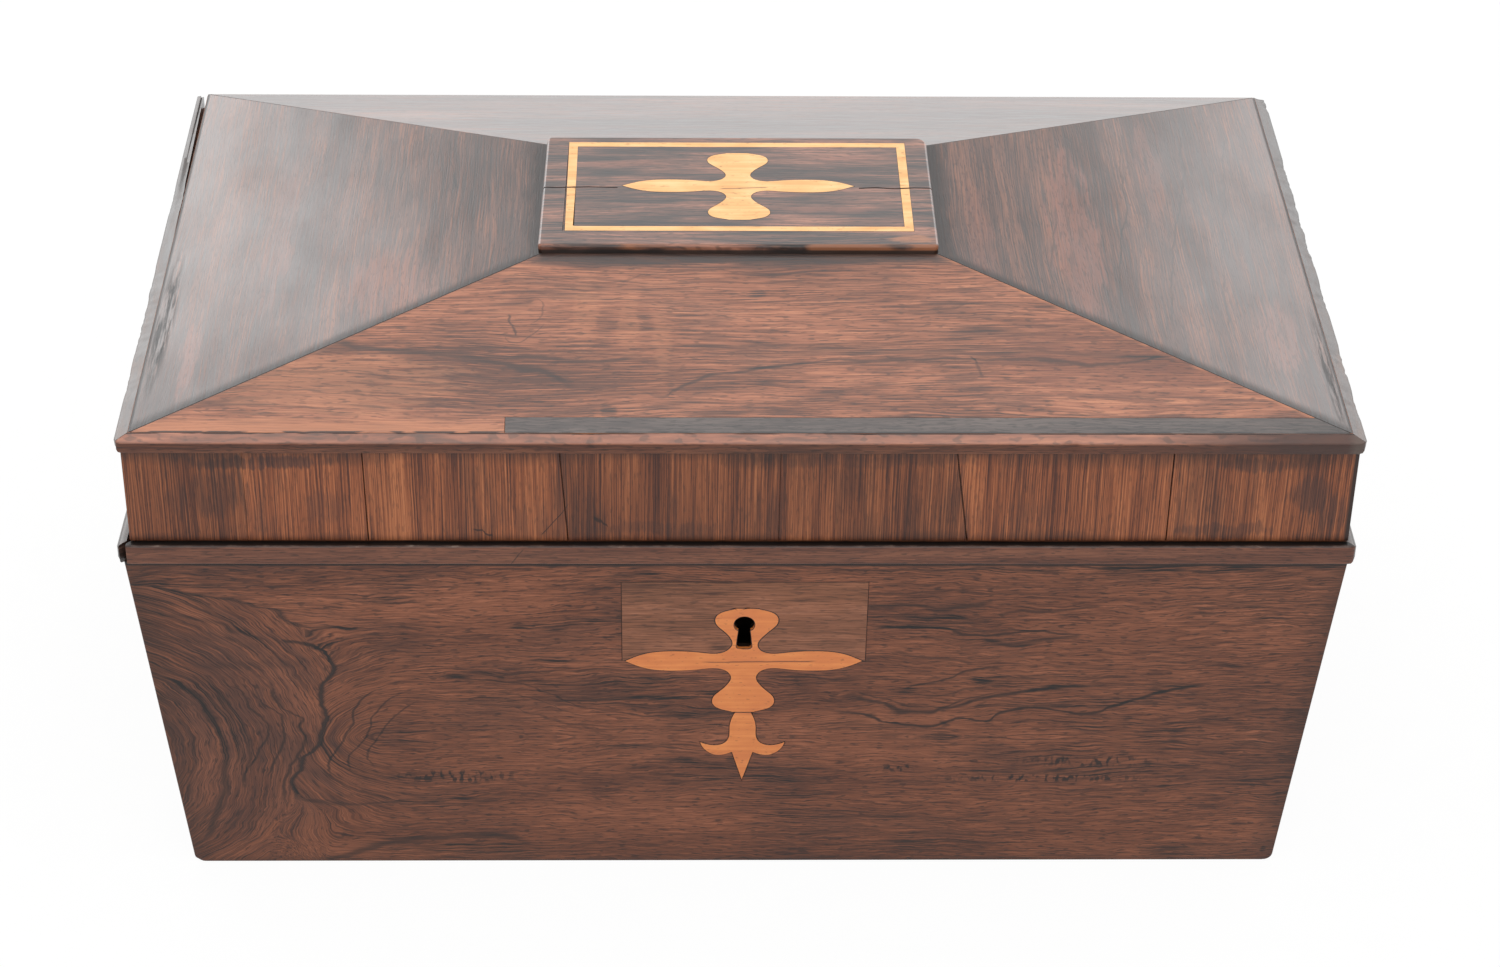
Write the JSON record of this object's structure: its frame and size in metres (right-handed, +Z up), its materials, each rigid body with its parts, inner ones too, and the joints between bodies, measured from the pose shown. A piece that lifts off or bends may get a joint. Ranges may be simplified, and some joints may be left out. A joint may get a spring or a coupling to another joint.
{
  "type": "tea caddy",
  "caption": "Rosewood tea caddy with tapering sides, hipped hinged lid, boxwood inlay, a lock, and lidded tea wells either side of a glass mixing bowl.",
  "frame": {"origin": "middle of the plan, on the table that the caddy stands on", "axes": "+Z up, the front with the keyhole faces -Y, +X to the right seen from the front"},
  "size_m": [0.3064, 0.1785, 0.1604],
  "materials": {
    "rosewood_base": "satin French polish, mostly level grain",
    "rosewood_patch": "satin French polish, straight level grain",
    "rosewood_frieze": "satin French polish, upright cross grain",
    "rosewood_moulding": "polished, worn along the nose",
    "rosewood_roof": "satin French polish",
    "rosewood_repair": "dull dark repair",
    "rosewood_tablet": "satin French polish, striped",
    "boxwood": "polished flush with the veneer",
    "mahogany": "planed, thinly polished",
    "rosewood_inside": "satin polish, little worn",
    "lead_foil": "dull grey foil",
    "brass": "aged, filed flat",
    "iron": "dull drawn iron",
    "glass": "clear, polished"
  },
  "bodies": {
    "base": {"base_front_board": "mahogany", "base_back_board": "mahogany", "base_left_board": "mahogany", "base_right_board": "mahogany", "base_bottom_board": "mahogany", "compartment_ledges": "mahogany", "bowl_rest": "mahogany", "base_front_veneer": "rosewood_base", "base_back_veneer": "rosewood_base", "base_left_veneer": "rosewood_base", "base_right_veneer": "rosewood_base", "keyhole_patch": "rosewood_patch", "escutcheon_cross": "boxwood", "escutcheon_fleur": "boxwood", "rim_moulding_front": "rosewood_moulding", "rim_moulding_left": "rosewood_moulding", "rim_moulding_right": "rosewood_moulding", "partition_left": "rosewood_inside", "partition_right": "rosewood_inside", "bowl_panel": "rosewood_inside", "tea_lining_left": "lead_foil", "tea_lining_right": "lead_foil", "lock_plate": "brass", "lock_case": "brass", "hinge_base_leaves": "brass", "base_brass_screws": "brass", "hinge_pins": "iron", "lock_key_pin": "iron"},
    "lid": {"lid_front_board": "mahogany", "lid_back_board": "mahogany", "lid_left_board": "mahogany", "lid_right_board": "mahogany", "lid_top_board": "mahogany", "lid_lining_panel": "mahogany", "frieze_front_veneer": "rosewood_frieze", "frieze_left_veneer": "rosewood_frieze", "frieze_right_veneer": "rosewood_frieze", "frieze_back_veneer": "rosewood_frieze", "lid_moulding_front": "rosewood_moulding", "lid_moulding_left": "rosewood_moulding", "lid_moulding_right": "rosewood_moulding", "roof_front_veneer": "rosewood_roof", "roof_back_veneer": "rosewood_roof", "roof_left_veneer": "rosewood_roof", "roof_right_veneer": "rosewood_roof", "roof_front_strip": "rosewood_repair", "lid_tablet": "rosewood_tablet", "tablet_stringing": "boxwood", "tablet_cross": "boxwood", "link_plate": "brass", "hinge_lid_leaves": "brass", "lid_brass_screws": "brass"},
    "lock_bolt": {"lock_bolt": "brass"},
    "tea_lid_left": {"tea_lid_left": "rosewood_inside", "tea_knob_left": "rosewood_inside"},
    "tea_lid_right": {"tea_lid_right": "rosewood_inside", "tea_knob_right": "rosewood_inside"},
    "mixing_bowl": {"mixing_bowl": "glass"}
  },
  "joints": [
    {"name": "lid_hinge", "type": "hinge", "parent": "base", "child": "lid", "pos_m": [0, 0.08687, 0.11015], "axis": [-1, 0, 0], "range_deg": [0, 98]},
    {"name": "bolt_slide", "type": "slide", "parent": "base", "child": "lock_bolt", "axis": [1, 0, 0], "range_m": [0, 0.0045]},
    {"name": "tea_lid_left_lift", "type": "slide", "parent": "base", "child": "tea_lid_left", "axis": [0, 0, 1], "range_m": [0, 0.02]},
    {"name": "tea_lid_right_lift", "type": "slide", "parent": "base", "child": "tea_lid_right", "axis": [0, 0, 1], "range_m": [0, 0.02]},
    {"name": "bowl_lift", "type": "slide", "parent": "base", "child": "mixing_bowl", "axis": [0, 0, 1], "range_m": [0, 0.025]}
  ]
}
